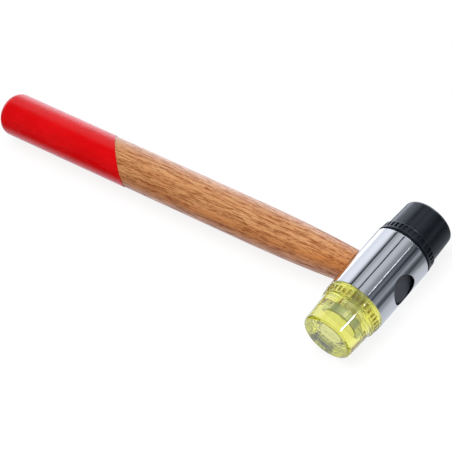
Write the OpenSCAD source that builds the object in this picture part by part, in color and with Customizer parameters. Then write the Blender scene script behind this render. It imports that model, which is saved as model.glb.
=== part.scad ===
// Soft face hammer: a plated steel bar wedged on a turned wooden handle,
// with a clear yellow and a black striking face screwed into its ends.
// The handle runs along X and the bar along Y. The bar lies on the plane Z = 0,
// and the origin is on that plane under the middle of the hammer.

/* [Head bar] */
// Diameter of the plated bar
bar_d = 32; // [29:0.5:40]
// Length of the bar between its two end faces
bar_l = 38.3; // [36:0.1:60]
// Chamfer round each end of the bar
bar_chamfer = 0.5; // [0.2:0.1:1]
// Diameter of the eye drilled across the bar for the handle
eye_d = 15.8; // [13:0.1:16.5]
// Steel left between the eye and the bottom of a tapped hole
web_t = 1; // [0.6:0.1:2]

/* [Handle] */
// Distance from the axis of the bar to the painted end of the butt
handle_reach = 258.5; // [180:0.5:360]
// Diameter of the wood where it meets the bar
neck_d = 17.7; // [17:0.1:21]
// Diameter of the wood at the start of the grip
waist_d = 22.3; // [20:0.1:26]
// Distance from the axis of the bar to the start of the grip
waist_reach = 80; // [50:1:110]
// Diameter of the wood at the butt
butt_d = 23.4; // [20:0.1:30]
// Radius of the rounded edge of the butt
butt_round = 5; // [2:0.5:8]
// Gap between the coped shoulder of the handle and the bar
shoulder_gap = 0.3; // [0.1:0.05:0.6]

/* [Grip coat] */
// Thickness of the dip coat, measured from the wood
coat_t = 0.35; // [0.25:0.05:1]
// Length of the coat along the axis of the handle
coat_l = 84.2; // [50:0.5:130]
// Slant of the edge of the coat from square
coat_slant = 43.4; // [0:0.5:50]

/* [Wedge and plug] */
// Length of the wedge in the tenon
wedge_l = 15; // [8:0.5:18]
// Width of the wedge
wedge_w = 11; // [6:0.5:12]
// Thickness of the wedge at its driven end
wedge_t = 2.6; // [1.5:0.1:4]
// Thickness of the wedge at its tip
wedge_tip_t = 0.8; // [0.4:0.1:1.4]
// Depth of the saw cut past the tip of the wedge
kerf_spare = 3; // [1:0.5:5]
// Thickness of the plug that closes the eye
plug_t = 3.5; // [2:0.5:5]
// Depth of the plug below the crown of the bar
plug_sink = 2.2; // [0.5:0.1:4]
// Chamfer round the edge of the plug
plug_chamfer = 0.3; // [0.1:0.1:0.6]

/* [Striking faces] */
// Length of a face from the bar to its striking end
face_l = 23.6; // [20:0.1:40]
// Step in from the surface of the bar to the seat that bears on it
seat_step = 0.9; // [0.5:0.05:3]
// Height of the seat, which leaves a groove next to the bar
seat_t = 1.2; // [0.4:0.1:1.5]
// Step in from the surface of the bar to the smooth rim
rim_step = 0.1; // [-2:0.05:0.25]
// Thickness of the smooth rim
rim_t = 1.2; // [0.8:0.1:3]
// Step in from the surface of the bar to the ribbed band next to the rim
band_step = 0.3; // [0.25:0.05:0.6]
// Step in from the surface of the bar to the ribbed band next to the body
band_tip_step = 0.6; // [0.3:0.05:0.9]
// Width of the ribbed band
band_t = 3.9; // [2:0.1:6]
// Width of the plain ring between the ribs and the body
ring_t = 0.7; // [0.4:0.1:1.5]
// Number of ribs round the band
rib_count = 36; // [24:1:48]
// Width of the groove between two ribs
rib_groove_w = 1.3; // [0.8:0.1:1.6]
// Depth of the groove between two ribs
rib_groove_depth = 0.55; // [0.3:0.05:0.6]
// Step in from the surface of the bar to the body next to the band
body_step = 1.4; // [1.2:0.05:2.5]
// Step in from the surface of the bar to the body at the striking end
tip_step = 2.25; // [1.5:0.05:4]
// Radius of the rounded edge of the striking end
edge_round = 1.8; // [0.5:0.1:4]

/* [Studs] */
// Diameter of the thread
stud_d = 8; // [6:0.5:9]
// Width of the hexagon across its flats
hex_w = 13; // [11.5:0.5:16]
// Thickness of the hexagon
hex_t = 5.3; // [4:0.1:7]
// Chamfer round the outer end of the hexagon
hex_chamfer = 1.3; // [0.3:0.1:1.6]
// Depth of the hexagon below the seat of the face
hex_depth = 8.4; // [5:0.1:10]
// Diameter of the plain shoulder under the hexagon
shoulder_d = 10; // [9.5:0.1:11]
// Depth of the shoulder below the seat of the face
shoulder_depth = 3.8; // [2:0.1:4.5]
// Chamfer at the tip of the thread
stud_chamfer = 0.9; // [0.4:0.1:1.5]
// Room below the tip of the thread in the tapped hole
tap_spare = 0.7; // [0.3:0.1:1.5]

/* [Spring washers] */
// Outer diameter of a washer
washer_d = 14.8; // [13.5:0.1:18]
// Thickness of a washer
washer_t = 2; // [1:0.1:2.5]
// Width of the split in a washer
washer_split = 1.2; // [0.5:0.1:2]
// Slant of the split in a washer
washer_split_slant = 25; // [0:1:40]
// Gap between a washer and the wall of its counterbore
washer_room = 0.3; // [0.2:0.05:0.6]

/* [Fits] */
// Gap between pieces that are fast in each other
fit_gap = 0.05; // [0.02:0.01:0.1]
// Gap between the dip coat and the wood
coat_gap = 0.1; // [0.05:0.01:0.15]
// Radial gap of a thread and of a washer on its stud
thread_gap = 0.08; // [0.03:0.01:0.1]
// Gap between flat faces that bear on each other
seat_gap = 0.05; // [0.02:0.01:0.1]

/* [Hidden] */
$fn = 96;
// Steps along the swell of the neck
neck_steps = 24;
// Steps round a rounded edge
round_steps = 10;
// Steepness of the neck at the bar, as a share of its mean slope
neck_slope_share = 2;
// How far cuts run past the faces that they cut
overrun = 1;
// Diameters of a face at its seat, rim, ribbed band and body
seat_d = bar_d - 2 * seat_step;
rim_d = bar_d - 2 * rim_step;
band_d = bar_d - 2 * band_step;
band_tip_d = bar_d - 2 * band_tip_step;
body_d = bar_d - 2 * body_step;
tip_d = bar_d - 2 * tip_step;
// Height of the axes of the handle and the bar above the ground plane
axis_h = max(bar_d, rim_d) / 2;
// Place of the axis of the bar along X
bar_x = (handle_reach - bar_d / 2) / 2;
// Distance from the middle of the bar to the seat of a face
seat_y = bar_l / 2 + seat_gap;
// Distance from the seat to the step between the ribbed band and the body
ledge_y = seat_t + rim_t + band_t;
// Depth of a tapped hole and of the counterbore for its washer
tap_depth = bar_l / 2 - eye_d / 2 - web_t;
counterbore_depth = washer_t + seat_gap;
// Length of the thread that stands out of a face
stud_reach = tap_depth - tap_spare;
// Distance from the axis of the bar to the outer face of the plug and the end of the tenon
plug_x = bar_d / 2 - plug_sink;
tenon_x = plug_x - plug_t - seat_gap;

// Points of a quarter round from the side (radius r) to the end (height h)
function edge_arc(r, h, round) = [
    for (i = [0 : round_steps])
        let (a = 90 * i / round_steps)
        [r - round + round * cos(a), h - round + round * sin(a)]
];

// Point of a cubic curve with four control points at t from 0 to 1
function curve_point(p, t) =
    pow(1 - t, 3) * p[0] + 3 * pow(1 - t, 2) * t * p[1]
    + 3 * (1 - t) * pow(t, 2) * p[2] + pow(t, 3) * p[3];

// Half outline of the wood, grown by g, as radius and distance from the axis of the bar
function handle_outline(g) =
    let (
        start = bar_d / 2,
        third = (waist_reach - start) / 3,
        rise = (waist_d - neck_d) / 2,
        fall = (butt_d - waist_d) / 2,
        grip_l = handle_reach - coat_t - waist_reach,
        swell = [
            [neck_d / 2, start],
            [neck_d / 2 + neck_slope_share * rise / 3, start + third],
            [waist_d / 2 - fall * third / grip_l, waist_reach - third],
            [waist_d / 2, waist_reach]
        ],
        neck = [for (i = [0 : neck_steps]) curve_point(swell, i / neck_steps)]
    )
    concat(
        [[0, eye_d / 2], [neck_d / 2 + g, eye_d / 2]],
        [for (p = neck) [p[0] + g, p[1]]],
        edge_arc(butt_d / 2 + g, handle_reach - coat_t + g, butt_round + g),
        [[0, handle_reach - coat_t + g]]
    );

// Half outline of a striking face, as radius and distance from its seat
function face_outline() = concat(
    [
        [0, 0],
        [seat_d / 2, 0],
        [seat_d / 2, seat_t],
        [rim_d / 2, seat_t],
        [rim_d / 2, seat_t + rim_t],
        [band_d / 2, seat_t + rim_t],
        [band_tip_d / 2, ledge_y],
        [body_d / 2, ledge_y]
    ],
    edge_arc(tip_d / 2, face_l, edge_round),
    [[0, face_l]]
);

// Moves a piece from the crossing of the two axes to its place above the ground
module placed() {
    translate([bar_x, 0, axis_h])
        children();
}

// Turns a piece that is made along Z to point along the handle, towards the butt
module along_handle() {
    rotate([0, -90, 0])
        children();
}

// Turns a piece that is made along Z to point out of one end of the bar
module along_bar(side) {
    rotate([-90 * side, 0, 0])
        children();
}

// Wood of the handle with its rounded butt, grown by g
module handle_form(g) {
    along_handle()
        rotate_extrude()
            polygon(handle_outline(g));
}

// Tapered slip of the wedge, grown by g, with its driven end at the end of the tenon
module wedge_form(width, g) {
    translate([tenon_x, 0, -width / 2])
        linear_extrude(width)
            polygon([
                [g, wedge_t / 2 + g],
                [g, -wedge_t / 2 - g],
                [-wedge_l, -wedge_tip_t / 2 - g],
                [-wedge_l, wedge_tip_t / 2 + g]
            ]);
}

module handle() {
    color([0.76, 0.53, 0.33])
        placed()
            difference() {
                union() {
                    difference() {
                        handle_form(0);
                        along_bar(1)
                            cylinder(d = bar_d + 2 * shoulder_gap, h = waist_d + 2 * overrun, center = true);
                    }
                    along_handle()
                        translate([0, 0, -tenon_x])
                            cylinder(d = eye_d - 2 * fit_gap, h = tenon_x + waist_reach / 2);
                }
                wedge_form(eye_d, fit_gap);
                translate([tenon_x - wedge_l - kerf_spare, -wedge_tip_t / 2 - fit_gap, -eye_d / 2])
                    cube([kerf_spare + overrun, wedge_tip_t + 2 * fit_gap, eye_d]);
            }
}

module grip_coat() {
    color([0.84, 0.07, 0.1])
        placed()
            difference() {
                intersection() {
                    handle_form(coat_t);
                    translate([coat_l - handle_reach, 0, 0])
                        rotate([0, 0, coat_slant])
                            translate([-handle_reach, -handle_reach / 2, -handle_reach / 2])
                                cube(handle_reach);
                }
                handle_form(coat_gap);
            }
}

module head_bar() {
    color([0.82, 0.83, 0.86])
        placed()
            difference() {
                along_bar(1)
                    rotate_extrude()
                        polygon([
                            [0, -bar_l / 2],
                            [bar_d / 2 - bar_chamfer, -bar_l / 2],
                            [bar_d / 2, bar_chamfer - bar_l / 2],
                            [bar_d / 2, bar_l / 2 - bar_chamfer],
                            [bar_d / 2 - bar_chamfer, bar_l / 2],
                            [0, bar_l / 2]
                        ]);
                along_handle()
                    cylinder(d = eye_d, h = bar_d + 2 * overrun, center = true);
                for (side = [-1, 1])
                    along_bar(side)
                        translate([0, 0, bar_l / 2]) {
                            translate([0, 0, -tap_depth])
                                cylinder(d = stud_d + 2 * thread_gap, h = tap_depth + overrun);
                            translate([0, 0, -counterbore_depth])
                                cylinder(d = washer_d + 2 * washer_room, h = counterbore_depth + overrun);
                        }
            }
}

module handle_wedge() {
    color([0.5, 0.51, 0.53])
        placed()
            wedge_form(wedge_w, 0);
}

module eye_plug() {
    plug_r = eye_d / 2 - fit_gap;
    color([0.22, 0.22, 0.25])
        placed()
            along_handle()
                rotate_extrude()
                    polygon([
                        [0, -plug_x],
                        [plug_r - plug_chamfer, -plug_x],
                        [plug_r, plug_chamfer - plug_x],
                        [plug_r, plug_t - plug_x],
                        [0, plug_t - plug_x]
                    ]);
}

// Hexagon, shoulder and thread of a stud, grown by g all round
module stud_form(g) {
    hex_r = hex_w / 2 / cos(30);
    translate([0, 0, hex_depth - g])
        intersection() {
            cylinder(r = hex_r + g / cos(30), h = hex_t + 2 * g, $fn = 6);
            rotate_extrude()
                polygon([
                    [0, 0],
                    [hex_r + 2 * g, 0],
                    [hex_r + 2 * g, hex_t - hex_chamfer * tan(30) + 2 * g],
                    [hex_r - hex_chamfer + 2 * g, hex_t + 2 * g],
                    [0, hex_t + 2 * g]
                ]);
        }
    rotate_extrude()
        polygon([
            [0, -stud_reach],
            [stud_d / 2 - stud_chamfer + g, -stud_reach],
            [stud_d / 2 + g, stud_chamfer - stud_reach],
            [stud_d / 2 + g, shoulder_depth - g],
            [shoulder_d / 2 + g, shoulder_depth - g],
            [shoulder_d / 2 + g, hex_depth + hex_t / 2],
            [0, hex_depth + hex_t / 2]
        ]);
}

// One striking face, with the ribs of its finger band and the room for its stud
module striking_face(side) {
    placed()
        along_bar(side)
            translate([0, 0, seat_y])
                difference() {
                    rotate_extrude()
                        polygon(face_outline());
                    for (i = [0 : rib_count - 1])
                        rotate([0, 0, 360 * i / rib_count])
                            translate([band_tip_d / 2 - rib_groove_depth, -rib_groove_w / 2, seat_t + rim_t])
                                cube([rim_d, rib_groove_w, band_t - ring_t]);
                    stud_form(fit_gap);
                }
}

// One stud in its place in a face
module stud(side) {
    placed()
        along_bar(side)
            translate([0, 0, seat_y])
                stud_form(0);
}

// One split spring washer in its counterbore
module spring_washer(side) {
    placed()
        along_bar(side)
            translate([0, 0, bar_l / 2 - washer_t])
                difference() {
                    cylinder(d = washer_d, h = washer_t);
                    translate([0, 0, -overrun])
                        cylinder(d = stud_d + 2 * thread_gap, h = washer_t + 2 * overrun);
                    translate([washer_d / 4, 0, washer_t / 2])
                        rotate([washer_split_slant, 0, 0])
                            cube([washer_d / 2 + overrun, washer_split, washer_d], center = true);
                }
}

module yellow_face() {
    color([0.88, 0.9, 0.3, 0.75])
        striking_face(-1);
}

module yellow_stud() {
    color([0.66, 0.68, 0.66])
        stud(-1);
}

module yellow_washer() {
    color([0.45, 0.46, 0.48])
        spring_washer(-1);
}

module black_face() {
    color([0.1, 0.1, 0.12])
        striking_face(1);
}

module black_stud() {
    color([0.66, 0.68, 0.66])
        stud(1);
}

module black_washer() {
    color([0.45, 0.46, 0.48])
        spring_washer(1);
}

handle();
grip_coat();
head_bar();
handle_wedge();
eye_plug();
yellow_face();
yellow_stud();
yellow_washer();
black_face();
black_stud();
black_washer();
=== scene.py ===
import math

import bmesh
import bpy
from mathutils import Matrix, Vector
from mathutils.geometry import interpolate_bezier


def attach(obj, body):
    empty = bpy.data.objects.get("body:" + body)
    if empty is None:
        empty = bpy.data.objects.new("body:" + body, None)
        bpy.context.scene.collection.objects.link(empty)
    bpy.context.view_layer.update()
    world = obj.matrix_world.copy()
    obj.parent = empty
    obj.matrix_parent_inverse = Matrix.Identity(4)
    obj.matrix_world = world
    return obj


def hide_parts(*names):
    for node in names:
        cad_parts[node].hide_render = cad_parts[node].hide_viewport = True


# Soft face hammer on a pale studio floor: a plated steel bar on a turned wooden handle
# with a dipped red grip, and a clear yellow and a black face screwed into the bar.
# Pieces are made in millimetres about their own axis and placed in metres.

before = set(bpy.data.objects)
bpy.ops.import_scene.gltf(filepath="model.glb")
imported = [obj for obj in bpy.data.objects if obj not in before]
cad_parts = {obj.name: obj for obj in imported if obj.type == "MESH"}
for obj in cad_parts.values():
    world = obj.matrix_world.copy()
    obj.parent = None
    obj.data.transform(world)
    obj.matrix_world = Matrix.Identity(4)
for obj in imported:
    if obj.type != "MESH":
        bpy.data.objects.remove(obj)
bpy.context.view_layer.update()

# Sizes of the solids
MM = 0.001
BAR_D, BAR_L, BAR_ROUND = 32.0, 38.3, 0.25
EYE_D, WEB_T = 15.8, 1.0
HANDLE_REACH, NECK_D, WAIST_D, WAIST_REACH = 258.5, 17.7, 22.3, 80.0
BUTT_D, BUTT_ROUND, SHOULDER_GAP, NECK_SLOPE = 23.4, 5.0, 0.3, 2.0
COAT_T, COAT_L, COAT_SLANT = 0.35, 84.2, math.radians(43.4)
WEDGE_L, WEDGE_T, WEDGE_TIP_T = 15.0, 2.6, 0.8
PLUG_T, PLUG_SINK, PLUG_CHAMFER = 3.5, 2.2, 0.3
FACE_L, SEAT_D, SEAT_T, RIM_D, RIM_T = 23.6, 30.2, 1.2, 31.8, 1.2
BAND_D, BAND_TIP_D, BAND_T, RING_T = 31.4, 30.8, 3.9, 0.7
RIB_COUNT, RIB_GROOVE_DEPTH = 36, 0.55
BODY_D, TIP_D, EDGE_ROUND = 29.2, 27.5, 1.8
STUD_D, HEX_W, HEX_T, HEX_CHAMFER, HEX_DEPTH = 8.0, 13.0, 5.3, 1.3, 8.4
SHOULDER_D, SHOULDER_DEPTH = 10.0, 3.8
STUD_CHAMFER, TAP_SPARE, PITCH = 0.9, 0.7, 1.25
WASHER_D, WASHER_T, WASHER_SPLIT, WASHER_SLANT = 14.8, 2.0, 1.2, math.radians(25)
WASHER_ROOM, FIT_GAP, THREAD_GAP, SEAT_GAP = 0.3, 0.05, 0.08, 0.05

# Finer work that only the visual pieces have
COPE_EASE, COAT_EASE, EYE_EASE, BAND_EASE, HEX_EASE = 0.25, 0.14, 0.18, 0.1, 0.12
SEAT_EDGE, RIM_EDGE, RING_EDGE, LEDGE_EDGE = 0.1, 0.25, 0.35, 0.2
SHOULDER_EDGE, WASHER_EDGE = 0.25, 0.12
PLUG_DISH, PLUG_DISH_STEP, PLUG_DISH_SHARE = 0.12, 0.08, 0.55
RIB_LOW, RIB_HIGH = 0.25, 0.75
THREAD_DEPTH = 0.68
THREAD_ROOT_END, THREAD_CREST_START, THREAD_CREST_END = 0.1, 0.48, 0.62

# The plastic of a face reaches a little way into its stud, so that no gap shows between them
MOULDED_LAP, THREAD_LAP = 0.1, 0.8

# Places that follow from the sizes
AXIS_H = BAR_D / 2
BAR_X = (HANDLE_REACH - BAR_D / 2) / 2
SEAT_Y = BAR_L / 2 + SEAT_GAP
BAND_START = SEAT_T + RIM_T
LEDGE = BAND_START + BAND_T
BAND_END = LEDGE - RING_T
TAP_DEPTH = BAR_L / 2 - EYE_D / 2 - WEB_T
STUD_REACH = TAP_DEPTH - TAP_SPARE
PLUG_X = BAR_D / 2 - PLUG_SINK
TENON_X = PLUG_X - PLUG_T - SEAT_GAP
HEX_R = HEX_W / 2 / math.cos(math.radians(30))
HEX_TOP = HEX_DEPTH + HEX_T
GROOVE_R = BAND_TIP_D / 2 - RIB_GROOVE_DEPTH

# How finely the meshes are made
TURN_STEPS, EYE_STEPS, HEX_STEPS = 288, 192, 192
SHOULDER_STEPS, WASHER_STEPS, TENON_STEPS, THREAD_STEPS = 144, 144, 96, 72
NECK_POINTS, BAR_CUTS, ROUND_STEPS = 33, 47, 8
EASE_STEPS, FINE_EASE_STEPS = 2, 3
MERGE, NEAR, EYE_NEAR = 0.0005, 0.01, 0.005
SHARP = math.radians(32)
OVERRUN, SKIN, BODY_MARGIN = 1.0, 1.0, 0.1

# Camera of the photograph, as angles round the point that it looks at
CAMERA_AIM = (0.02973, -0.00906, 0.016)
CAMERA_AZIMUTH, CAMERA_ELEVATION, CAMERA_ROLL = 52.921, 45.207, -18.438
CAMERA_DISTANCE = 1.02179
CAMERA_LENS, CAMERA_SENSOR = 159.11, 36.0
CAMERA_NEAR, CAMERA_FAR = 0.05, 20
CLEAR_BOUNCES = 20


# Placing

def placed(turn):
    """From millimetres about the crossing of the two axes to metres in the frame."""
    return Matrix.Scale(MM, 4) @ Matrix.Translation((BAR_X, 0, AXIS_H)) @ turn


def along_bar(side, out=0.0):
    """Local Z points out of one end of the bar, from a point that far from its middle."""
    turn = Matrix.Rotation(math.radians(-90 * side), 4, "X")
    return placed(turn @ Matrix.Translation((0, 0, out)))


ALONG_HANDLE = placed(Matrix.Rotation(math.radians(-90), 4, "Y"))


# Shapes

def profile(bm, corners):
    """Half outline in the XZ plane; each corner is (radius, height, rounding)."""
    points = [bm.verts.new((r, 0, h)) for r, h, _ in corners]
    for first, second in zip(points, points[1:]):
        bm.edges.new((first, second))
    for point, (_, _, rounding) in zip(points, corners):
        if rounding:
            bmesh.ops.bevel(
                bm, geom=[point], offset=rounding, offset_type="OFFSET", segments=ROUND_STEPS,
                profile=0.5, affect="VERTICES", material=-1)


def spun(bm, steps=TURN_STEPS):
    """Turns all the outlines in a mesh once round Z and closes their seams and poles."""
    bmesh.ops.spin(
        bm, geom=bm.verts[:] + bm.edges[:], cent=(0, 0, 0), axis=(0, 0, 1),
        angle=2 * math.pi, steps=steps, use_merge=True)
    bmesh.ops.remove_doubles(bm, verts=bm.verts, dist=MERGE)
    bmesh.ops.recalc_face_normals(bm, faces=bm.faces)
    return bm


def turned(corners, steps=TURN_STEPS):
    """Closed solid of revolution."""
    bm = bmesh.new()
    profile(bm, corners)
    return spun(bm, steps)


def rod(radius, low, high, steps=TURN_STEPS):
    """Plain cylinder along Z."""
    return turned([(0, low, 0), (radius, low, 0), (radius, high, 0), (0, high, 0)], steps)


def extruded(bm, faces):
    """Extrudes faces in place and gives the points of the new ones, which are then moved."""
    grown = bmesh.ops.extrude_face_region(bm, geom=faces)["geom"]
    return [v for v in grown if isinstance(v, bmesh.types.BMVert)]


def cut_off(bm, point, way):
    """Takes away all that lies past a plane."""
    bmesh.ops.bisect_plane(
        bm, geom=bm.verts[:] + bm.edges[:] + bm.faces[:], dist=MERGE,
        plane_co=point, plane_no=way, clear_outer=True)


def combined(shape, operation, tool):
    """Joins, cuts or intersects two closed shapes, and frees both."""
    made = []
    for bm in (shape, tool):
        mesh = bpy.data.meshes.new("scratch")
        bm.to_mesh(mesh)
        bm.free()
        made.append(bpy.data.objects.new("scratch", mesh))
        bpy.context.scene.collection.objects.link(made[-1])
    modifier = made[0].modifiers.new("combine", "BOOLEAN")
    modifier.operation, modifier.solver, modifier.object = operation, "EXACT", made[1]
    result = bmesh.new()
    result.from_object(made[0], bpy.context.evaluated_depsgraph_get())
    for obj in made:
        mesh = obj.data
        bpy.data.objects.remove(obj)
        bpy.data.meshes.remove(mesh)
    bmesh.ops.remove_doubles(result, verts=result.verts, dist=MERGE)
    return result


def eased(bm, offset, segments=EASE_STEPS, where=lambda edge: True):
    """Rounds the hard edges of a shape."""
    edges = [e for e in bm.edges if e.is_manifold and e.calc_face_angle() > SHARP and where(e)]
    bmesh.ops.bevel(
        bm, geom=edges, offset=offset, offset_type="OFFSET", segments=segments, profile=0.5,
        affect="EDGES", material=-1, clamp_overlap=True)
    return bm


def piece(name, bm, matrix, material, body, slot, *nodes):
    """Finishes a shape as a piece that stands for some of the solids."""
    bm.transform(matrix)
    for face in bm.faces:
        face.smooth = True
    for edge in bm.edges:
        edge.smooth = not edge.is_manifold or edge.calc_face_angle() < SHARP
    mesh = bpy.data.meshes.new(name)
    bm.to_mesh(mesh)
    bm.free()
    mesh.materials.append(material)
    obj = bpy.data.objects.new(name, mesh)
    bpy.context.scene.collection.objects.link(obj)
    normals = obj.modifiers.new("straight_walls", "WEIGHTED_NORMAL")
    normals.keep_sharp = True
    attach(obj, body)
    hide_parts(*nodes)


# Pieces

def wood_radius(z):
    """Radius of the straight taper between the waist and the butt."""
    share = (z - WAIST_REACH) / (HANDLE_REACH - COAT_T - BUTT_ROUND - WAIST_REACH)
    return WAIST_D / 2 + share * (BUTT_D - WAIST_D) / 2


def butt_corners(grown):
    """Corner of the butt, with the outline grown by that much."""
    radius, end = BUTT_D / 2 + grown, HANDLE_REACH - COAT_T + grown
    return [
        (radius, end - BUTT_ROUND - grown, 0), (radius, end, BUTT_ROUND + grown), (0, end, 0)]


def saw_cut():
    """Tapered cut across the tenon, open at its end, for the wedge."""
    bm = bmesh.new()
    ends = [(WEDGE_T / 2, -OVERRUN), (-WEDGE_T / 2, -OVERRUN), (-WEDGE_TIP_T / 2, WEDGE_L),
            (WEDGE_TIP_T / 2, WEDGE_L)]
    side = bm.faces.new([bm.verts.new((-EYE_D, y, z - TENON_X)) for y, z in ends])
    bmesh.ops.translate(bm, vec=(2 * EYE_D, 0, 0), verts=extruded(bm, [side]))
    bmesh.ops.recalc_face_normals(bm, faces=bm.faces)
    return bm


def handle_shape():
    """Turned handle with a swelling neck, coped on the bar, and its sawn tenon."""
    start, third = BAR_D / 2, (WAIST_REACH - BAR_D / 2) / 3
    rise, fall = (WAIST_D - NECK_D) / 2, (BUTT_D - WAIST_D) / 2
    grip_l = HANDLE_REACH - COAT_T - WAIST_REACH
    knots = [
        Vector((NECK_D / 2, start)),
        Vector((NECK_D / 2 + NECK_SLOPE * rise / 3, start + third)),
        Vector((WAIST_D / 2 - fall * third / grip_l, WAIST_REACH - third)),
        Vector((WAIST_D / 2, WAIST_REACH))]
    neck = [(p.x, p.y, 0) for p in interpolate_bezier(*knots, NECK_POINTS)]
    inner = EYE_D / 2
    body = turned([(0, inner, 0), (NECK_D / 2, inner, 0), *neck, *butt_corners(0)])
    bar = rod(BAR_D / 2 + SHOULDER_GAP, -WAIST_D, WAIST_D)
    bar.transform(Matrix.Rotation(math.pi / 2, 4, "X"))
    body = eased(combined(body, "DIFFERENCE", bar), COPE_EASE)
    tenon = rod(EYE_D / 2 - FIT_GAP, -TENON_X, WAIST_REACH / 2, TENON_STEPS)
    body = combined(body, "UNION", tenon)
    return combined(body, "DIFFERENCE", saw_cut())


def dip_coat_shape():
    """Skin of paint over the butt, with a slanted edge."""
    bm = bmesh.new()
    start = HANDLE_REACH - COAT_L - BUTT_D
    for grown in (COAT_T, -FIT_GAP):
        profile(bm, [(wood_radius(start) + grown, start, 0), *butt_corners(grown)])
    spun(bm)
    cut_off(bm, (0, 0, HANDLE_REACH - COAT_L), (0, math.sin(COAT_SLANT), -math.cos(COAT_SLANT)))
    bmesh.ops.bridge_loops(bm, edges=[e for e in bm.edges if e.is_boundary])
    bmesh.ops.recalc_face_normals(bm, faces=bm.faces)
    return eased(bm, COAT_EASE, FINE_EASE_STEPS)


def bar_shape():
    """Round bar with softened ends, tapped and counterbored, and the eye through it."""
    half, r, tap_r = BAR_L / 2, BAR_D / 2, STUD_D / 2 + THREAD_GAP
    bore_r, bore = WASHER_D / 2 + WASHER_ROOM, WASHER_T + SEAT_GAP
    end = [
        (0, half - TAP_DEPTH, 0), (tap_r, half - TAP_DEPTH, 0), (tap_r, half - bore, 0),
        (bore_r, half - bore, 0), (bore_r, half, 0), (r, half, BAR_ROUND)]
    bm = bmesh.new()
    profile(bm, end + [(x, -z, rounding) for x, z, rounding in reversed(end)])
    long_edge = max(bm.edges, key=lambda e: e.calc_length())
    bmesh.ops.subdivide_edges(bm, edges=[long_edge], cuts=BAR_CUTS)
    spun(bm)
    eye = rod(EYE_D / 2, -BAR_D, BAR_D, EYE_STEPS)
    eye.transform(Matrix.Rotation(math.pi / 2, 4, "Y"))
    bm = combined(bm, "DIFFERENCE", eye)

    def eye_rim(edge):
        """Whether an edge is on the eye's rim, at the round of the bar."""
        middle = (edge.verts[0].co + edge.verts[1].co) / 2
        return abs(middle.z) < EYE_D / 2 + EYE_NEAR and middle.xy.length > r - SKIN

    return eased(bm, EYE_EASE, FINE_EASE_STEPS, eye_rim)


def plug_shape():
    """Disc that closes the eye, with a softened edge and a faint dish."""
    r = EYE_D / 2 - FIT_GAP
    return turned([
        (0, -PLUG_X + PLUG_DISH, 0), (r * PLUG_DISH_SHARE, -PLUG_X + PLUG_DISH_STEP, 0),
        (r, -PLUG_X, PLUG_CHAMFER), (r, PLUG_T - PLUG_X, 0), (0, PLUG_T - PLUG_X, 0)])


def face_shape():
    """Striking face: seat, rim, ribbed finger band, tapered body and the pocket of its stud."""
    ring_r = (BAND_TIP_D + (BAND_D - BAND_TIP_D) * RING_T / BAND_T) / 2
    hex_r, neck_r = HEX_R - HEX_CHAMFER - MOULDED_LAP, SHOULDER_D / 2 - MOULDED_LAP
    core_r = STUD_D / 2 - THREAD_LAP
    over_hex, under_hex = HEX_TOP - FIT_GAP, HEX_DEPTH + FIT_GAP
    under_neck = SHOULDER_DEPTH + FIT_GAP
    bm = turned([
        (0, over_hex, 0), (hex_r, over_hex, 0), (hex_r, under_hex, 0), (neck_r, under_hex, 0),
        (neck_r, under_neck, 0), (core_r, under_neck, 0), (core_r, 0, 0),
        (SEAT_D / 2, 0, SEAT_EDGE), (SEAT_D / 2, SEAT_T, 0), (RIM_D / 2, SEAT_T, RIM_EDGE),
        (RIM_D / 2, BAND_START, 0), (BAND_D / 2, BAND_START, 0), (GROOVE_R, BAND_START, 0),
        (GROOVE_R, BAND_END, 0), (ring_r, BAND_END, 0), (BAND_TIP_D / 2, LEDGE, RING_EDGE),
        (BODY_D / 2, LEDGE, LEDGE_EDGE), (TIP_D / 2, FACE_L, EDGE_ROUND), (0, FACE_L, 0)])

    def on_rib(face):
        """Whether a part of the band is at a rib, not at a groove."""
        middle = face.calc_center_median()
        return RIB_LOW < math.atan2(middle.y, middle.x) / math.tau * RIB_COUNT % 1 < RIB_HIGH

    def buried(face):
        """Whether a level part of the band ends up inside a rib."""
        level = any(
            all(abs(v.co.z - h) < NEAR for v in face.verts) for h in (BAND_START, BAND_END))
        return level and on_rib(face) and face.calc_center_median().xy.length < BAND_D / 2

    walls = [face for face in bm.faces
             if on_rib(face) and all(abs(v.co.xy.length - GROOVE_R) < NEAR for v in face.verts)]
    for vert in extruded(bm, walls):
        reach = BAND_D / 2 if vert.co.z < LEDGE / 2 else ring_r
        vert.co.xy *= reach / vert.co.xy.length
    hidden = set(walls) | {face for face in bm.faces if buried(face)}
    bmesh.ops.delete(bm, geom=list(hidden), context="FACES")
    bmesh.ops.remove_doubles(bm, verts=bm.verts, dist=MERGE)
    bmesh.ops.recalc_face_normals(bm, faces=bm.faces)

    def outside(edge):
        """Whether an edge is on the seat, the rim or the band."""
        return min(v.co.xy.length for v in edge.verts) > BODY_D / 2 + BODY_MARGIN

    return eased(bm, BAND_EASE, where=outside)


def hexagon_shape():
    """Hexagon of the stud, with a turned chamfer on its end."""
    bm = bmesh.new()
    bmesh.ops.create_circle(
        bm, cap_ends=True, radius=HEX_R, segments=6, matrix=Matrix.Rotation(math.pi / 2, 4, "Z"))
    bmesh.ops.translate(bm, vec=(0, 0, HEX_T), verts=extruded(bm, bm.faces[:]))
    bmesh.ops.recalc_face_normals(bm, faces=bm.faces)
    cone = turned([
        (0, -OVERRUN, 0), (HEX_R + OVERRUN, -OVERRUN, 0), (HEX_R + OVERRUN, HEX_T - HEX_CHAMFER, 0),
        (HEX_R, HEX_T - HEX_CHAMFER * math.tan(math.radians(30)), 0), (HEX_R - HEX_CHAMFER, HEX_T, 0),
        (0, HEX_T, 0)], HEX_STEPS)
    bm = eased(combined(bm, "INTERSECT", cone), HEX_EASE)
    bmesh.ops.translate(bm, vec=(0, 0, HEX_DEPTH), verts=bm.verts)
    return bm


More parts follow.
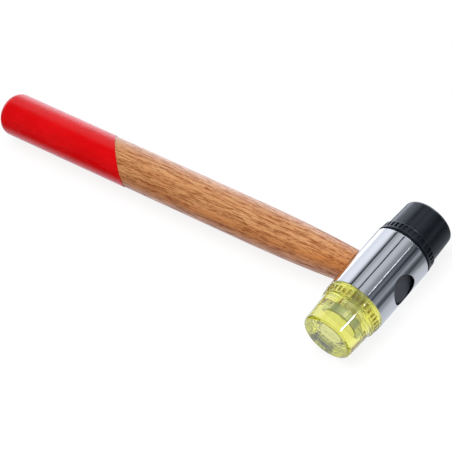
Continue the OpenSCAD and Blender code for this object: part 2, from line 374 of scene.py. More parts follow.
def thread_shape():
    """True helical thread, closed at both ends and chamfered at its tip."""
    bm = bmesh.new()
    root, crest = STUD_D / 2 - THREAD_DEPTH, STUD_D / 2
    first, last = -STUD_REACH - 2 * PITCH, SHOULDER_DEPTH + PITCH
    turns = math.ceil((last - first) / PITCH) + 1
    rows = [(root, 0), (root, THREAD_ROOT_END), (crest, THREAD_CREST_START),
            (crest, THREAD_CREST_END), (root, 1)]
    profile(bm, [(r, first + z * PITCH, 0) for r, z in rows])
    bmesh.ops.spin(
        bm, geom=bm.verts[:] + bm.edges[:], cent=(0, 0, 0), axis=(0, 0, 1),
        dvec=(0, 0, PITCH / THREAD_STEPS), angle=2 * math.pi * turns, steps=THREAD_STEPS * turns)
    bmesh.ops.remove_doubles(bm, verts=bm.verts, dist=MERGE)
    for height, way in ((-STUD_REACH, -1), (last, 1)):
        cut_off(bm, (0, 0, height), (0, 0, way))
        ring = [e for e in bm.edges
                if e.is_boundary and all(abs(v.co.z - height) < NEAR for v in e.verts)]
        bmesh.ops.contextual_create(bm, geom=ring)
    for vert in bm.verts:
        reach = crest - STUD_CHAMFER + max(0, vert.co.z + STUD_REACH)
        if vert.co.xy.length > reach:
            vert.co.xy *= reach / vert.co.xy.length
    bmesh.ops.recalc_face_normals(bm, faces=bm.faces)
    return bm


def stud_shape():
    """Hexagon, plain shoulder and thread, in one piece."""
    neck_r, middle = SHOULDER_D / 2, HEX_DEPTH + HEX_T / 2
    neck = turned([
        (0, SHOULDER_DEPTH, 0), (neck_r, SHOULDER_DEPTH, SHOULDER_EDGE), (neck_r, middle, 0),
        (0, middle, 0)], SHOULDER_STEPS)
    head = combined(hexagon_shape(), "UNION", neck)
    return combined(head, "UNION", thread_shape())


def washer_shape():
    """Split spring washer with soft edges."""
    inner, outer = STUD_D / 2 + THREAD_GAP, WASHER_D / 2
    bm = turned([
        (inner, WASHER_T / 2, 0), (inner, 0, WASHER_EDGE), (outer, 0, WASHER_EDGE),
        (outer, WASHER_T, WASHER_EDGE), (inner, WASHER_T, WASHER_EDGE), (inner, WASHER_T / 2, 0)],
        WASHER_STEPS)
    split = bmesh.new()
    bmesh.ops.create_cube(split, size=1)
    bmesh.ops.scale(split, vec=(WASHER_D / 2 + OVERRUN, WASHER_SPLIT, WASHER_D), verts=split.verts)
    bmesh.ops.rotate(
        split, cent=(0, 0, 0), matrix=Matrix.Rotation(WASHER_SLANT, 3, "X"), verts=split.verts)
    bmesh.ops.translate(split, vec=(WASHER_D / 4 + OVERRUN / 2, 0, WASHER_T / 2), verts=split.verts)
    return combined(bm, "DIFFERENCE", split)


# Shader helpers

def add(tree, kind, inputs=None, **settings):
    """Adds a node; an input takes a plain value or another node's socket."""
    made = tree.nodes.new("ShaderNode" + kind)
    for name, value in settings.items():
        setattr(made, name, value)
    for name, value in (inputs or {}).items():
        if isinstance(value, bpy.types.NodeSocket):
            tree.links.new(value, made.inputs[name])
        else:
            made.inputs[name].default_value = value
    return made


def maths(tree, operation, a, b=0.0, clamp=False):
    """One step of arithmetic on two values."""
    return add(tree, "Math", {0: a, 1: b}, operation=operation, use_clamp=clamp).outputs[0]


def times(tree, first, *others):
    """Product of values."""
    for other in others:
        first = maths(tree, "MULTIPLY", first, other)
    return first


def length(tree, vector):
    """How long a vector is."""
    return add(tree, "VectorMath", {0: vector}, operation="LENGTH").outputs["Value"]


def opaque(colour):
    """A plain colour with the alpha that sockets ask for; anything else as it is."""
    return (*colour, 1.0) if isinstance(colour, tuple) else colour


def blended(tree, factor, first, second, mode="MIX"):
    """Goes from one colour to another."""
    node = add(tree, "Mix", {0: factor, 6: opaque(first), 7: opaque(second)},
               data_type="RGBA", blend_type=mode)
    return node.outputs[2]


def ramped(tree, factor, stops):
    """Runs through colours; each stop is (place, colour)."""
    node = add(tree, "ValToRGB", {"Fac": factor})
    elements = node.color_ramp.elements
    while len(elements) < len(stops):
        elements.new(1.0)
    for element, (place, colour) in zip(elements, stops):
        element.position = place
        element.color = (*colour, 1.0)
    return node.outputs["Color"]


def spread(tree, value, low, high, to_low=0.0, to_high=1.0):
    """Maps a range smoothly on another, and holds its ends."""
    node = add(tree, "MapRange", {"Value": value, "From Min": low, "From Max": high,
                                  "To Min": to_low, "To Max": to_high},
               interpolation_type="SMOOTHSTEP")
    return node.outputs["Result"]


def between(tree, value, rise, fall):
    """Mask that rises over one range and falls over a later one."""
    return times(tree, spread(tree, value, *rise), spread(tree, value, *fall, 1.0, 0.0))


def noise(tree, vector, scale, detail=2.0, roughness=0.5):
    """Cloudy noise from 0 to 1."""
    node = add(tree, "TexNoise", {"Vector": vector, "Scale": scale, "Detail": detail,
                                  "Roughness": roughness})
    return node.outputs["Fac"]


def stretched(tree, vector, scale, location=(0, 0, 0), rotation=(0, 0, 0)):
    """Coordinates scaled, then turned, then moved."""
    node = add(tree, "Mapping", {"Vector": vector, "Scale": scale, "Location": location,
                                 "Rotation": rotation})
    return node.outputs["Vector"]


def streaks(tree, vector, scale, detail=2.0, roughness=0.5, rotation=(0, 0, 0)):
    """Noise drawn out by another scale along each axis."""
    return noise(tree, stretched(tree, vector, scale, rotation=rotation), 1.0, detail, roughness)


def finish_material(name, settings):
    """Material with one Principled BSDF; settings go on its own sockets."""
    material = bpy.data.materials.new(name)
    material.use_nodes = True
    tree = material.node_tree
    shader = tree.nodes["Principled BSDF"]
    for socket, value in settings.items():
        shader.inputs[socket].default_value = value
    per_m = 1 / MM
    in_mm = stretched(tree, add(tree, "TexCoord").outputs["Object"], (per_m, per_m, per_m))
    return material, tree, shader, in_mm


def feed(tree, shader, colour, roughness):
    """Gives a material its colour and roughness."""
    tree.links.new(colour, shader.inputs["Base Color"])
    tree.links.new(roughness, shader.inputs["Roughness"])


def bumped(tree, shader, height, distance, strength):
    """Gives a material its relief; the distance is in metres."""
    bump = add(tree, "Bump", {"Height": height, "Distance": distance, "Strength": strength})
    tree.links.new(bump.outputs["Normal"], shader.inputs["Normal"])


def round_bar(tree, in_mm):
    """Depth past the seat, distance from the axis of the bar and angle round it."""
    from_axis = stretched(tree, in_mm, (1, 1, 1), (-BAR_X, 0, -AXIS_H))
    way = add(tree, "SeparateXYZ", {0: from_axis}).outputs
    depth = maths(tree, "SUBTRACT", maths(tree, "ABSOLUTE", way["Y"]), SEAT_Y)
    radius = length(tree, stretched(tree, from_axis, (1, 0, 1)))
    return depth, radius, maths(tree, "ARCTAN2", way["Z"], way["X"])


def new_group(name, inputs, outputs):
    """Shader node group with float or vector inputs and float outputs."""
    group = bpy.data.node_groups.new(name, "ShaderNodeTree")
    for label, kind in inputs:
        group.interface.new_socket(label, in_out="INPUT", socket_type="NodeSocket" + kind)
    for label in outputs:
        group.interface.new_socket(label, in_out="OUTPUT", socket_type="NodeSocketFloat")
    return group, group.nodes.new("NodeGroupInput"), group.nodes.new("NodeGroupOutput")


# Shared effects

# Stretch of each noise along and across the handle, per millimetre, and where its marks begin and are full
SWAY, SWAY_STRETCH = 12.0, (0.010, 0.03, 0.03)
RIPPLE, RIPPLE_STRETCH = 5.0, (0.045, 0.16, 0.16)
TONE_STRETCH, FIBRE_STRETCH = (0.02, 0.07, 0.07), (0.08, 3.6, 3.6)
DASH_STRETCH, DASHES = (0.10, 1.7, 1.7), (0.57, 0.67)
FLECK_STRETCH, FLECKS = (0.26, 2.6, 2.6), (0.60, 0.67, 0.0, 0.9)
LINE_STRETCH, LINES = (0.04, 2.0, 2.0), (0.55, 0.68, 0.0, 0.8)
RING_RISE, RING_FALL, PORES_IN_RING = (0.0, 0.15), (0.3, 0.65), 0.06
PITH = (0, -44, 28)
RING_WIDTH = 2.4
GRAIN_LEAN = (0, math.radians(1.5), math.radians(-1))

HAIRLINE_STRETCH, HAIRLINE_LEAN, HAIRLINES = (0.9, 0.12, 0.9), (0.3, 0.2, 0.5), (0.62, 0.74)
FILM_STRETCH = (0.12, 0.12, 0.12)


def grain_group():
    """Grain of the turned wood, in millimetres along X: rings, pores, fibre and slow tone."""
    group, given, result = new_group(
        "wood_grain", [("Vector", "Vector"), ("Ring Width", "Float")],
        ("Rings", "Pores", "Fibre", "Tone"))
    place = given.outputs["Vector"]
    sway = times(group, streaks(group, place, SWAY_STRETCH), SWAY)
    ripple = times(group, streaks(group, place, RIPPLE_STRETCH, detail=3.0, roughness=0.55), RIPPLE)
    from_pith = length(group, stretched(group, place, (0, 1, 1), PITH))
    shifted = maths(group, "ADD", from_pith, maths(group, "ADD", sway, ripple))
    turns = maths(group, "DIVIDE", shifted, given.outputs["Ring Width"])
    rings = between(group, maths(group, "FRACT", turns), RING_RISE, RING_FALL)
    more = times(group, rings, PORES_IN_RING)
    dashes = maths(group, "ADD", streaks(group, place, DASH_STRETCH, roughness=0.6), more)
    flecks = maths(group, "ADD", streaks(group, place, FLECK_STRETCH), more)
    lines = streaks(group, place, LINE_STRETCH)
    pores = maths(group, "MAXIMUM", spread(group, dashes, *DASHES), spread(group, flecks, *FLECKS))
    pores = maths(group, "MAXIMUM", pores, spread(group, lines, *LINES))
    fibre = streaks(group, place, FIBRE_STRETCH, detail=3.0, roughness=0.6)
    tone = streaks(group, place, TONE_STRETCH)
    for name, value in (("Rings", rings), ("Pores", pores), ("Fibre", fibre), ("Tone", tone)):
        group.links.new(value, result.inputs[name])
    return group


def grained(tree, grain, in_mm):
    """Grain of this handle, with its height above the axis."""
    place = stretched(tree, in_mm, (1, 1, 1), (0, 0, -AXIS_H), GRAIN_LEAN)
    height = add(tree, "SeparateXYZ", {0: place}).outputs["Z"]
    found = add(tree, "Group", {"Vector": place, "Ring Width": RING_WIDTH}, node_tree=grain).outputs
    return found, height


def scuff_group():
    """Fine handling marks: hairlines along one way and a cloudy film, from 0 to 1."""
    group, given, result = new_group(
        "handling_marks", [("Vector", "Vector"), ("Size", "Float")], ("Hairlines", "Film"))
    place = add(group, "VectorMath", {0: given.outputs["Vector"], "Scale": given.outputs["Size"]},
                operation="SCALE").outputs["Vector"]
    lines = streaks(group, place, HAIRLINE_STRETCH, detail=4.0, roughness=0.7, rotation=HAIRLINE_LEAN)
    film = streaks(group, place, FILM_STRETCH, detail=4.0, roughness=0.6)
    group.links.new(spread(group, lines, *HAIRLINES), result.inputs["Hairlines"])
    group.links.new(film, result.inputs["Film"])
    return group


def marked(tree, scuffs, in_mm, size):
    """Handling marks; a larger size makes finer ones."""
    return add(tree, "Group", {"Vector": in_mm, "Size": size}, node_tree=scuffs).outputs


# Materials

# Colours, as linear red, green and blue
WHITE, BLACK = (1.0, 1.0, 1.0), (0.0, 0.0, 0.0)
WOOD_TONES = [
    (0.30, (0.62, 0.275, 0.098)), (0.5, (0.68, 0.327, 0.128)), (0.72, (0.74, 0.390, 0.172))]
# The underside colour of the wood is painted shade.
WOOD_UNDERSIDE_SHADE, WOOD_RING = (0.63, 0.195, 0.030), (0.46, 0.170, 0.045)
WOOD_FIBRE, WOOD_PORE = (0.44, 0.180, 0.055), (0.265, 0.056, 0.006)
RED_TONES = [(0.3, (0.67, 0.0012, 0.0025)), (0.7, (0.74, 0.0020, 0.0040))]
RED_LINE = (0.50, 0.0008, 0.0018)
# The colour of the eye's wall is painted shade.
CHROME, CHROME_FILM, EYE_WALL_SHADE = (0.86, 0.87, 0.885), (0.72, 0.735, 0.76), (0.05, 0.05, 0.06)
RUBBER, RUBBER_FILM = (0.0025, 0.0030, 0.0036), (0.0055, 0.0065, 0.0078)
RUBBER_SHEEN = (0.80, 0.88, 1.0)
# The rib and groove colours of the yellow band are painted shade.
YELLOW_RIB_SHADE, YELLOW_GROOVE_SHADE, YELLOW_DYE = (0.92, 0.88, 0.74), (0.40, 0.31, 0.19), (0.98, 0.975, 0.12)
DYE_DENSITY = 60.0
ZINC, ZINC_FILM = (0.86, 0.87, 0.84), (0.74, 0.75, 0.72)
# The flat and edge colours of the hexagon are painted shade.
ZINC_FLAT_SHADE, ZINC_EDGE_SHADE = (0.53, 0.59, 0.53), (0.36, 0.38, 0.30)
SPRING, SPRING_FILM = (0.42, 0.43, 0.45), (0.30, 0.31, 0.33)
STEEL, STEEL_FILM = (0.50, 0.51, 0.53), (0.34, 0.35, 0.36)
PLUG, PLUG_FILM = (0.030, 0.034, 0.047), (0.046, 0.051, 0.070)

# How much of a mark shows, or the range of a mask and what that range becomes
RING_SHOW, PORE_SHOW, FIBRE_SHOW = 0.45, 0.88, (0.40, 0.68, 0.0, 0.45)
UNDERSIDE_SHOW = (3.5, 9.0, 0.75, 0.0)
RED_LINE_SHOW, RED_PORE_SHOW = (0.46, 0.68, 0.0, 0.65), -0.7
CHROME_FILM_SHOW, RUBBER_FILM_SHOW = 0.25, 0.5
EYE_WALL_SHOW = (EYE_D / 2 + 0.02, EYE_D / 2 + 0.12, 1.0, 0.0)
BAND_RISE, BAND_FALL = (BAND_START - 0.1, BAND_START + 0.2), (BAND_END - 0.2, BAND_END + 0.1)
BAND_SKIN, GROOVE_SHOW = (GROOVE_R - 1, GROOVE_R - 0.5), (0.22, 0.28, 1.0, 0.0)
FLAT_R, FLAT_END = (SHOULDER_D / 2 + 0.4, HEX_W / 2 - 0.3), (HEX_TOP - 0.8, HEX_TOP - 0.5, 1.0, 0.0)
FLAT_CORNER = (0.06, 0.14)
EDGE_R, EDGE_START = (HEX_R - HEX_CHAMFER - 0.4, HEX_R - HEX_CHAMFER), (HEX_TOP - 0.7, HEX_TOP - 0.4)

# The same for gloss
WOOD_ROUGH, LACQUER = (0.3, 0.8, 0.44, 0.56), (0.0, 1.0, 0.85, 0.0)
RED_ROUGH, CHROME_ROUGH = (0.3, 0.7, 0.12, 0.19), (0.0, 1.0, 0.006, 0.03)
RUBBER_ROUGH, YELLOW_ROUGH = (0.3, 0.7, 0.22, 0.30), (0.4, 0.75, 0.0, 0.05)
ZINC_ROUGH, SPRING_ROUGH = (0.2, 0.8, 0.06, 0.14), (0.2, 0.8, 0.20, 0.36)
STEEL_ROUGH, PLUG_ROUGH = (0.2, 0.8, 0.3, 0.5), (0.0, 1.0, 0.5, 0.4)

# Relief, as its distance in metres and its strength
PORE_RELIEF, RED_RELIEF, CHROME_RELIEF = (0.00008, 0.6), (0.00004, 0.5), (0.00006, 0.25)
RUBBER_RELIEF, ZINC_RELIEF = (0.00003, 0.4), (0.00002, 0.4)
STEEL_RELIEF, PLUG_RELIEF = (0.00002, 0.5), (0.00002, 0.4)
CHROME_WAVES, CHROME_GRIT, GRIT_SHARE = (0.3, 0.08, 0.3), 1.3, 0.45
RED_BLOTCH, YELLOW_BLOTCH, RUBBER_GRAIN, PLUG_GRAIN = 0.06, 0.3, 3.0, 2.5

# Fineness of the handling marks
CHROME_MARKS, RUBBER_MARKS, ZINC_MARKS = 2.0, 1.2, 1.5
SPRING_MARKS, STEEL_MARKS, PLUG_MARKS = 2.5, 1.8, 1.0


def lacquered_wood(grain):
    """Brown open-grained wood under a clear lacquer that sinks into its pores."""
    material, tree, shader, in_mm = finish_material(
        "lacquered_wood", {"IOR": 1.5, "Coat Roughness": 0.32})
    found, height = grained(tree, grain, in_mm)
    body = ramped(tree, found["Tone"], WOOD_TONES)
    # Painted shade: the lower part of the handle is a deeper orange.
    body = blended(tree, spread(tree, height, *UNDERSIDE_SHOW), body, WOOD_UNDERSIDE_SHADE)
    rings = blended(tree, times(tree, found["Rings"], RING_SHOW), body, WOOD_RING)
    fibre = blended(tree, spread(tree, found["Fibre"], *FIBRE_SHOW), rings, WOOD_FIBRE)
    colour = blended(tree, times(tree, found["Pores"], PORE_SHOW), fibre, WOOD_PORE)
    feed(tree, shader, colour, spread(tree, found["Fibre"], *WOOD_ROUGH))
    tree.links.new(spread(tree, found["Pores"], *LACQUER), shader.inputs["Coat Weight"])
    bumped(tree, shader, times(tree, found["Pores"], -1.0), *PORE_RELIEF)
    return material


def red_dip(grain):
    """Red gloss paint, with faint lines of the wood that it covers."""
    material, tree, shader, in_mm = finish_material("red_dip", {"IOR": 1.37})
    found, _ = grained(tree, grain, in_mm)
    blotch = noise(tree, in_mm, RED_BLOTCH, detail=3.0)
    colour = ramped(tree, blotch, RED_TONES)
    colour = blended(tree, spread(tree, found["Fibre"], *RED_LINE_SHOW), colour, RED_LINE)
    feed(tree, shader, colour, spread(tree, blotch, *RED_ROUGH))
    lines = maths(tree, "ADD", times(tree, found["Pores"], RED_PORE_SHOW), found["Fibre"])
    bumped(tree, shader, lines, *RED_RELIEF)
    return material


def chrome_plate(scuffs):
    """Bright plating with a slight waviness, and painted shade on the wall of the eye."""
    material, tree, shader, in_mm = finish_material("chrome_plate", {"Metallic": 1.0, "IOR": 2.0})
    marks = marked(tree, scuffs, in_mm, CHROME_MARKS)
    colour = blended(tree, times(tree, marks["Film"], CHROME_FILM_SHOW), CHROME, CHROME_FILM)
    # Painted shade: the wall of the eye is darkened.
    from_eye = length(tree, stretched(tree, in_mm, (0, 1, 1), (0, 0, -AXIS_H)))
    colour = blended(tree, spread(tree, from_eye, *EYE_WALL_SHOW), colour, EYE_WALL_SHADE)
    feed(tree, shader, colour, spread(tree, marks["Hairlines"], *CHROME_ROUGH))
    waves = streaks(tree, in_mm, CHROME_WAVES, detail=3.0)
    grit = times(tree, noise(tree, in_mm, CHROME_GRIT), GRIT_SHARE)
    bumped(tree, shader, maths(tree, "ADD", waves, grit), *CHROME_RELIEF)
    return material


def black_rubber(scuffs):
    """Black rubber-like plastic with a cool sheen."""
    material, tree, shader, in_mm = finish_material(
        "black_rubber", {"IOR": 1.71, "Specular Tint": opaque(RUBBER_SHEEN)})
    marks = marked(tree, scuffs, in_mm, RUBBER_MARKS)
    colour = blended(tree, times(tree, marks["Film"], RUBBER_FILM_SHOW), RUBBER, RUBBER_FILM)
    feed(tree, shader, colour, spread(tree, marks["Film"], *RUBBER_ROUGH))
    bumped(tree, shader, noise(tree, in_mm, RUBBER_GRAIN, detail=3.0), *RUBBER_RELIEF)
    return material


def clear_yellow():
    """Clear plastic with a yellow dye, and painted brown shade on the finger band, darkest in the grooves
    between its ribs.
    """
    material, tree, shader, in_mm = finish_material("clear_yellow", {
        "IOR": 1.49, "Transmission Weight": 1.0, "Coat Weight": 1.0, "Coat Roughness": 0.03})
    depth, radius, angle = round_bar(tree, in_mm)
    band = times(tree, between(tree, depth, BAND_RISE, BAND_FALL), spread(tree, radius, *BAND_SKIN))
    ribs = maths(tree, "PINGPONG", times(tree, angle, RIB_COUNT / math.tau), 0.5)
    # Painted shade: the finger band is tinted brown, darkest in the grooves between its ribs.
    band_shade = blended(tree, spread(tree, ribs, *GROOVE_SHOW), YELLOW_RIB_SHADE, YELLOW_GROOVE_SHADE)
    feed(tree, shader, blended(tree, band, WHITE, band_shade),
         spread(tree, noise(tree, in_mm, YELLOW_BLOTCH, detail=3.0), *YELLOW_ROUGH))
    dye = add(tree, "VolumeAbsorption", {"Color": opaque(YELLOW_DYE), "Density": DYE_DENSITY})
    tree.links.new(dye.outputs["Volume"], tree.nodes["Material Output"].inputs["Volume"])
    return material


def zinc_steel(scuffs):
    """Zinc-plated steel, with painted shade on the flats of the hexagon away from its corners and round
    its end.
    """
    material, tree, shader, in_mm = finish_material("zinc_steel", {"Metallic": 1.0})
    marks = marked(tree, scuffs, in_mm, ZINC_MARKS)
    bright = blended(tree, marks["Film"], ZINC, ZINC_FILM)
    depth, radius, angle = round_bar(tree, in_mm)
    # Painted shade: the flats of the hexagon are darker away from its corners, and a ring round its
    # chamfered end is darker.
    from_corner = maths(tree, "PINGPONG", angle, math.pi / 6)
    flats = times(tree, spread(tree, radius, *FLAT_R), spread(tree, depth, *FLAT_END),
                  spread(tree, from_corner, *FLAT_CORNER))
    edge = times(tree, spread(tree, radius, *EDGE_R), spread(tree, depth, *EDGE_START))
    colour = blended(tree, edge, blended(tree, flats, bright, ZINC_FLAT_SHADE), ZINC_EDGE_SHADE)
    feed(tree, shader, colour, spread(tree, marks["Film"], *ZINC_ROUGH))
    bumped(tree, shader, marks["Hairlines"], *ZINC_RELIEF)
    return material


def bare_steel(name, scuffs, size, colours, rough):
    """Unplated steel with a cloudy film."""
    material, tree, shader, in_mm = finish_material(name, {"Metallic": 1.0})
    marks = marked(tree, scuffs, in_mm, size)
    feed(tree, shader, blended(tree, marks["Film"], *colours), spread(tree, marks["Film"], *rough))
    bumped(tree, shader, marks["Hairlines"], *STEEL_RELIEF)
    return material


def dark_plug(scuffs):
    """Dull dark plastic of the plug."""
    material, tree, shader, in_mm = finish_material("dark_plug", {"IOR": 1.5})
    marks = marked(tree, scuffs, in_mm, PLUG_MARKS)
    feed(tree, shader, blended(tree, marks["Film"], PLUG, PLUG_FILM),
         spread(tree, marks["Hairlines"], *PLUG_ROUGH))
    bumped(tree, shader, noise(tree, in_mm, PLUG_GRAIN, detail=3.0), *PLUG_RELIEF)
    return material


# Studio

# Light strips and dark gaps of the studio round the bar: degrees from +X over the top to -X, and level
STUDIO_BANDS = [
    (-180, 1.00), (-60, 0.60), (1.4, 0.28), (7.4, 0.36), (11.4, 0.27), (18.4, 0.26), (22.4, 0.11),
    (26.4, 0.08), (33.4, 0.24), (39.4, 0.11), (44.4, 0.24), (50.4, 0.31), (56.4, 0.31), (63.4, 0.47),
    (70.4, 0.59), (82.4, 0.60), (83.8, 0.03), (87, 0.03), (88.4, 0.58), (96.4, 0.64), (104.4, 0.52),
    (114.4, 0.38), (115.8, 0.02), (119, 0.02), (120.4, 0.20), (124.4, 0.36), (130.4, 0.88),
    (140.4, 1.02), (152.4, 1.00), (168.4, 0.90), (180, 1.10)]
DARK_TINT, PALE_TINT, PALE_LEVEL = (0.58, 0.76, 1.0), (0.87, 0.91, 1.0), 0.35
AMBIENT = (0.28, 0.28, 0.28)

# Parts of the studio that are brighter or darker than the strips, by direction
DARK_CORNER, CORNER_FADE = (-0.58, -0.54, 0.61), (0.63, 0.84, 1.0, 0.10)
SIDE_WINDOW, SIDE_Y, SIDE_Z = 2.5, (0.5, 0.75), (0.05, 0.45, 1.0, 0.0)
FAR_WINDOW, FAR_Y, FAR_X = 3.4, (0.80, 0.94), (-0.30, -0.05)
FRONT_RISE, FRONT_FALL, FRONT_SHADE = (0.14, 0.28), (0.55, 0.70), (0.445, 0.478, 0.0, 0.5)

# Share of the strips in what clear plastic shows, against plain white
CLEAR_VIEW = 0.5


def tinted(level):
    """Colour of a light of that level; the dim ones are bluer."""
    share = min(level / PALE_LEVEL, 1.0)
    return [level * (d + (p - d) * share) for d, p in zip(DARK_TINT, PALE_TINT)]


def studio_world():
    """White to the eye, strips of light in gloss, half of each in clear plastic, soft on the rest."""
    world = bpy.data.worlds.new("studio")
    bpy.context.scene.world = world
    world.use_nodes = True
    tree = world.node_tree
    direction = add(tree, "TexCoord").outputs["Generated"]
    way = add(tree, "SeparateXYZ", {0: direction}).outputs
    angle = maths(tree, "ARCTAN2", way["Z"], way["X"])
    share = maths(tree, "ADD", maths(tree, "DIVIDE", angle, math.tau), 0.5)
    bands = ramped(tree, share, [(a / 360 + 0.5, tinted(level)) for a, level in STUDIO_BANDS])
    corner = add(tree, "VectorMath", {0: direction, 1: DARK_CORNER},
                 operation="DOT_PRODUCT").outputs["Value"]
    low_side = times(tree, spread(tree, way["Y"], *SIDE_Y), spread(tree, way["Z"], *SIDE_Z))
    far_side = times(tree, spread(tree, way["Y"], *FAR_Y), spread(tree, way["X"], *FAR_X))
    front_end = times(tree, between(tree, angle, FRONT_RISE, FRONT_FALL),
                      spread(tree, way["Y"], *FRONT_SHADE))
    level = times(
        tree, spread(tree, corner, *CORNER_FADE), spread(tree, low_side, 0.0, 1.0, 1.0, SIDE_WINDOW),
        spread(tree, far_side, 0.0, 1.0, 1.0, FAR_WINDOW), maths(tree, "SUBTRACT", 1.0, front_end))
    glossy = blended(tree, 1.0, bands, level, "MULTIPLY")
    rays = add(tree, "LightPath").outputs
    unseen = blended(tree, rays["Is Glossy Ray"], AMBIENT, glossy)
    inside = blended(tree, CLEAR_VIEW, WHITE, glossy)
    unseen = blended(tree, rays["Is Transmission Ray"], unseen, inside)
    tree.links.new(blended(tree, rays["Is Camera Ray"], unseen, WHITE),
                   tree.nodes["Background"].inputs["Color"])


def lamp(name, place, aim, size, power, shows, beam=180):
    """Oval lamp with its first axis as near along Y as its aim allows."""
    light = bpy.data.lights.new(name, "AREA")
    light.shape = "ELLIPSE"
    light.size, light.size_y = size
    light.energy = power
    light.spread = math.radians(beam)
    obj = bpy.data.objects.new(name, light)
    back = (Vector(place) - Vector(aim)).normalized()
    side = (Vector((0, 1, 0)) - back * back.y).normalized()
    turn = Matrix((side, back.cross(side), back)).transposed()
    obj.matrix_world = Matrix.Translation(place) @ turn.to_4x4()
    obj.visible_glossy = shows
    obj.visible_transmission = False
    obj.visible_camera = False
    bpy.context.scene.collection.objects.link(obj)


# How bright the floor is in gloss: metres along X, and level
FLOOR_SWEEP = [
    (0.050, 1.00), (0.100, 0.82), (0.134, 0.70), (0.151, 0.61), (0.158, 0.56), (0.170, 0.37),
    (0.188, 0.34), (0.202, 0.25), (0.230, 0.12), (0.291, 0.18), (0.534, 0.24), (0.900, 0.21),
    (1.200, 0.27)]

# Parts of the floor that differ in gloss, in metres: by the head, under the black end, where a painted
# shadow darkens it, on either side
BY_HEAD, BLACK_SIDE, BLACK_SHADOW_LEVEL = (0.02, 0.06), (0.022, 0.045), 0.6
NEAR_SIDE, LIT_SIDE = (-0.045, -0.012), (0.03, 0.06)

# The floor to the eye, as its own glow and as matt paint, and its paint to soft light
FLOOR_GLOW, FLOOR_MATT, FLOOR_SOFT = (0.87, 0.87, 0.87), (0.14, 0.14, 0.14), (0.8, 0.8, 0.8)
FLOOR_HALF = 4


def studio_floor():
    """Pale floor that reads as white and keeps a soft shadow; metal sees it as a glow that falls off to
    grey, with a painted shadow under the black end.
    """
    bm = bmesh.new()
    bmesh.ops.create_grid(bm, x_segments=1, y_segments=1, size=FLOOR_HALF)
    mesh = bpy.data.meshes.new("floor")
    bm.to_mesh(mesh)
    bm.free()
    floor = bpy.data.objects.new("floor", mesh)
    bpy.context.scene.collection.objects.link(floor)
    material = bpy.data.materials.new("floor")
    material.use_nodes = True
    tree = material.node_tree
    tree.nodes.remove(tree.nodes["Principled BSDF"])
    rays = add(tree, "LightPath").outputs
    seen = maths(tree, "MAXIMUM", rays["Is Camera Ray"], rays["Is Transmission Ray"])
    place = add(tree, "SeparateXYZ", {0: add(tree, "TexCoord").outputs["Object"]}).outputs
    along, across = place["X"], place["Y"]
    start, reach = FLOOR_SWEEP[0][0], FLOOR_SWEEP[-1][0] - FLOOR_SWEEP[0][0]
    share = maths(tree, "DIVIDE", maths(tree, "SUBTRACT", along, start), reach, True)
    sweep = ramped(tree, share, [((x - start) / reach, tinted(level)) for x, level in FLOOR_SWEEP])
    by_head = spread(tree, along, *BY_HEAD)
    by_black = times(tree, by_head, spread(tree, across, *BLACK_SIDE))
    near = maths(tree, "MAXIMUM", spread(tree, across, *NEAR_SIDE), by_head)
    lit = times(tree, spread(tree, across, *LIT_SIDE), maths(tree, "SUBTRACT", 1.0, by_head))
    # Painted shadow: the glow that metal sees is darker under the black end.
    painted_shadow = spread(tree, by_black, 0.0, 1.0, 1.0, BLACK_SHADOW_LEVEL)
    level = times(tree, near, maths(tree, "ADD", lit, painted_shadow))
    in_gloss = blended(tree, rays["Is Glossy Ray"], BLACK,
                       blended(tree, 1.0, sweep, level, "MULTIPLY"))
    glow = add(tree, "Emission", {"Color": blended(tree, seen, in_gloss, FLOOR_GLOW)})
    matt = blended(tree, rays["Is Glossy Ray"], FLOOR_SOFT, BLACK)
    paint = add(tree, "BsdfDiffuse", {"Color": blended(tree, seen, matt, FLOOR_MATT)})
    both = add(tree, "AddShader", {0: paint.outputs[0], 1: glow.outputs[0]})
    tree.links.new(both.outputs[0], tree.nodes["Material Output"].inputs["Surface"])
    material.cycles.emission_sampling = "NONE"
    mesh.materials.append(material)


def photo_camera():
    """Camera where the photograph was taken from, with plain colours."""
    data = bpy.data.cameras.new("camera")
    data.lens, data.sensor_width = CAMERA_LENS, CAMERA_SENSOR
    data.clip_start, data.clip_end = CAMERA_NEAR, CAMERA_FAR
    camera = bpy.data.objects.new("camera", data)
    turn = (
        Matrix.Rotation(math.radians(CAMERA_AZIMUTH), 4, "Z")
        @ Matrix.Rotation(math.radians(90 - CAMERA_ELEVATION), 4, "X")
        @ Matrix.Rotation(math.radians(CAMERA_ROLL), 4, "Z"))
    back = turn.to_3x3() @ Vector((0, 0, 1))
    camera.matrix_world = Matrix.Translation(Vector(CAMERA_AIM) + CAMERA_DISTANCE * back) @ turn
    bpy.context.scene.collection.objects.link(camera)
    bpy.context.scene.camera = camera
    bpy.context.scene.view_settings.view_transform = "Standard"


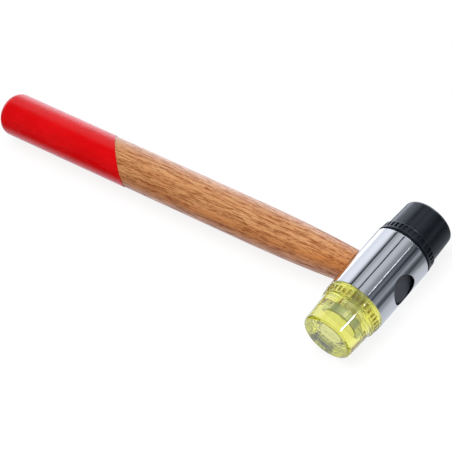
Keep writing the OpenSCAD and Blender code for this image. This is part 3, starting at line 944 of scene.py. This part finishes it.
bpy.context.scene.cycles.max_bounces = CLEAR_BOUNCES
bpy.context.scene.cycles.glossy_bounces = CLEAR_BOUNCES
bpy.context.scene.cycles.transmission_bounces = CLEAR_BOUNCES
bpy.context.scene.cycles.use_light_tree = False
photo_camera()
studio_world()
studio_floor()
lamp("key", place=(0.10, -0.12, 1.20), aim=(0, 0, 0), size=(1.0, 1.0), power=14.0, shows=False)
lamp("bar_glint", place=(0.514, 0.280, 0.420), aim=(0.132, -0.01, 0.03), size=(0.060, 0.011),
     power=0.004, shows=True)
lamp("face_glint", place=(0.55, 0.1405, 0.294), aim=(0.132, -0.036, 0.026), size=(0.021, 0.0045),
     power=0.00052, shows=True, beam=8)

grain, scuffs = grain_group(), scuff_group()
face, stud, washer = face_shape(), stud_shape(), washer_shape()
zinc = zinc_steel(scuffs)
spring = bare_steel("spring_steel", scuffs, SPRING_MARKS, (SPRING, SPRING_FILM), SPRING_ROUGH)
piece("wood_handle", handle_shape(), ALONG_HANDLE, lacquered_wood(grain), "head",
      "lacquered_wood", "handle")
piece("red_dip_coat", dip_coat_shape(), ALONG_HANDLE, red_dip(grain), "head",
      "red_dip_coat", "grip_coat")
piece("plated_bar", bar_shape(), along_bar(1), chrome_plate(scuffs), "head",
      "chrome_plate", "head_bar")
piece("sunk_plug", plug_shape(), ALONG_HANDLE, dark_plug(scuffs), "head", "dark_plug", "eye_plug")
for colour, side, finish, slot in (
        ("yellow", -1, clear_yellow(), "clear_yellow"),
        ("black", 1, black_rubber(scuffs), "black_rubber")):
    face_body, washer_body = colour + "_face", colour + "_washer"
    piece(colour + "_striking_face", face.copy(), along_bar(side, SEAT_Y), finish, face_body,
          slot, colour + "_face")
    piece(colour + "_face_stud", stud.copy(), along_bar(side, SEAT_Y), zinc, face_body,
          "zinc_steel", colour + "_stud")
    piece(colour + "_spring_washer", washer.copy(), along_bar(side, BAR_L / 2 - WASHER_T), spring,
          washer_body, "spring_steel", colour + "_washer")

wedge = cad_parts["handle_wedge"]
wedge.data.materials.clear()
wedge.data.materials.append(
    bare_steel("plain_steel", scuffs, STEEL_MARKS, (STEEL, STEEL_FILM), STEEL_ROUGH))
